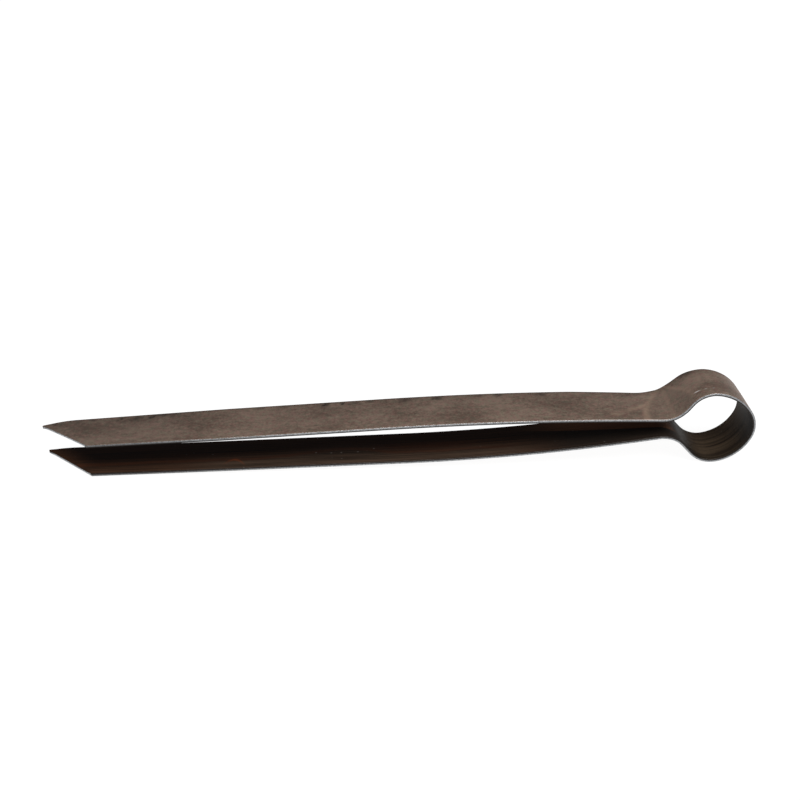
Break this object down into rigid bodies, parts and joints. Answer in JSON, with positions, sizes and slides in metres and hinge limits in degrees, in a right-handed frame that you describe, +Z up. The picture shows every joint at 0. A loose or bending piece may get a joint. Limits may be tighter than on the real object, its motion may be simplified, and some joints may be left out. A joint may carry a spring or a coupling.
{
  "type": "stamp tongs",
  "caption": "Sprung steel tongs folded from one strip: a round bow, a narrow neck and flat arms whose blades are cut obliquely to a point.",
  "frame": {"origin": "on the surface the tongs lie on, under the middle of the whole object's box", "axes": "+X along the tongs from the points to the bow, +Y across the strip to the side that the points are on, +Z up from the lower arm to the upper arm"},
  "size_m": [0.1196, 0.01, 0.0126],
  "materials": {
    "spring_steel": "old spring steel: brown-grey patina on the faces, bright sheared edges"
  },
  "bodies": {
    "bow": {"bow": "spring_steel"},
    "upper_neck": {"upper_neck": "spring_steel"},
    "upper_arm": {"upper_arm": "spring_steel", "upper_blade": "spring_steel"},
    "lower_neck": {"lower_neck": "spring_steel"},
    "lower_arm": {"lower_arm": "spring_steel", "lower_blade": "spring_steel"}
  },
  "joints": [
    {"name": "upper_bow_flex", "type": "hinge", "parent": "bow", "child": "upper_neck", "pos_m": [0.0533, 0, 0.01023], "axis": [0, -1, 0], "range_deg": [0, 0.63], "stiffness_Nm_per_rad": 1.12},
    {"name": "upper_arm_flex", "type": "hinge", "parent": "upper_neck", "child": "upper_arm", "pos_m": [0.02934, 0, 0.00846], "axis": [0, -1, 0], "range_deg": [0, 0.65], "stiffness_Nm_per_rad": 0.6},
    {"name": "lower_bow_flex", "type": "hinge", "parent": "bow", "child": "lower_neck", "pos_m": [0.05355, 0, 0.00243], "axis": [0, 1, 0], "range_deg": [0, 0.63], "stiffness_Nm_per_rad": 1.12},
    {"name": "lower_arm_flex", "type": "hinge", "parent": "lower_neck", "child": "lower_arm", "pos_m": [0.02951, 0, 0.00314], "axis": [0, 1, 0], "range_deg": [0, 0.65], "stiffness_Nm_per_rad": 0.6}
  ],
  "couplings": [
    {"joint": "upper_arm_flex", "follows": "upper_bow_flex", "ratio": 1.03},
    {"joint": "lower_bow_flex", "follows": "upper_bow_flex", "ratio": 1},
    {"joint": "lower_arm_flex", "follows": "upper_bow_flex", "ratio": 1.03}
  ]
}
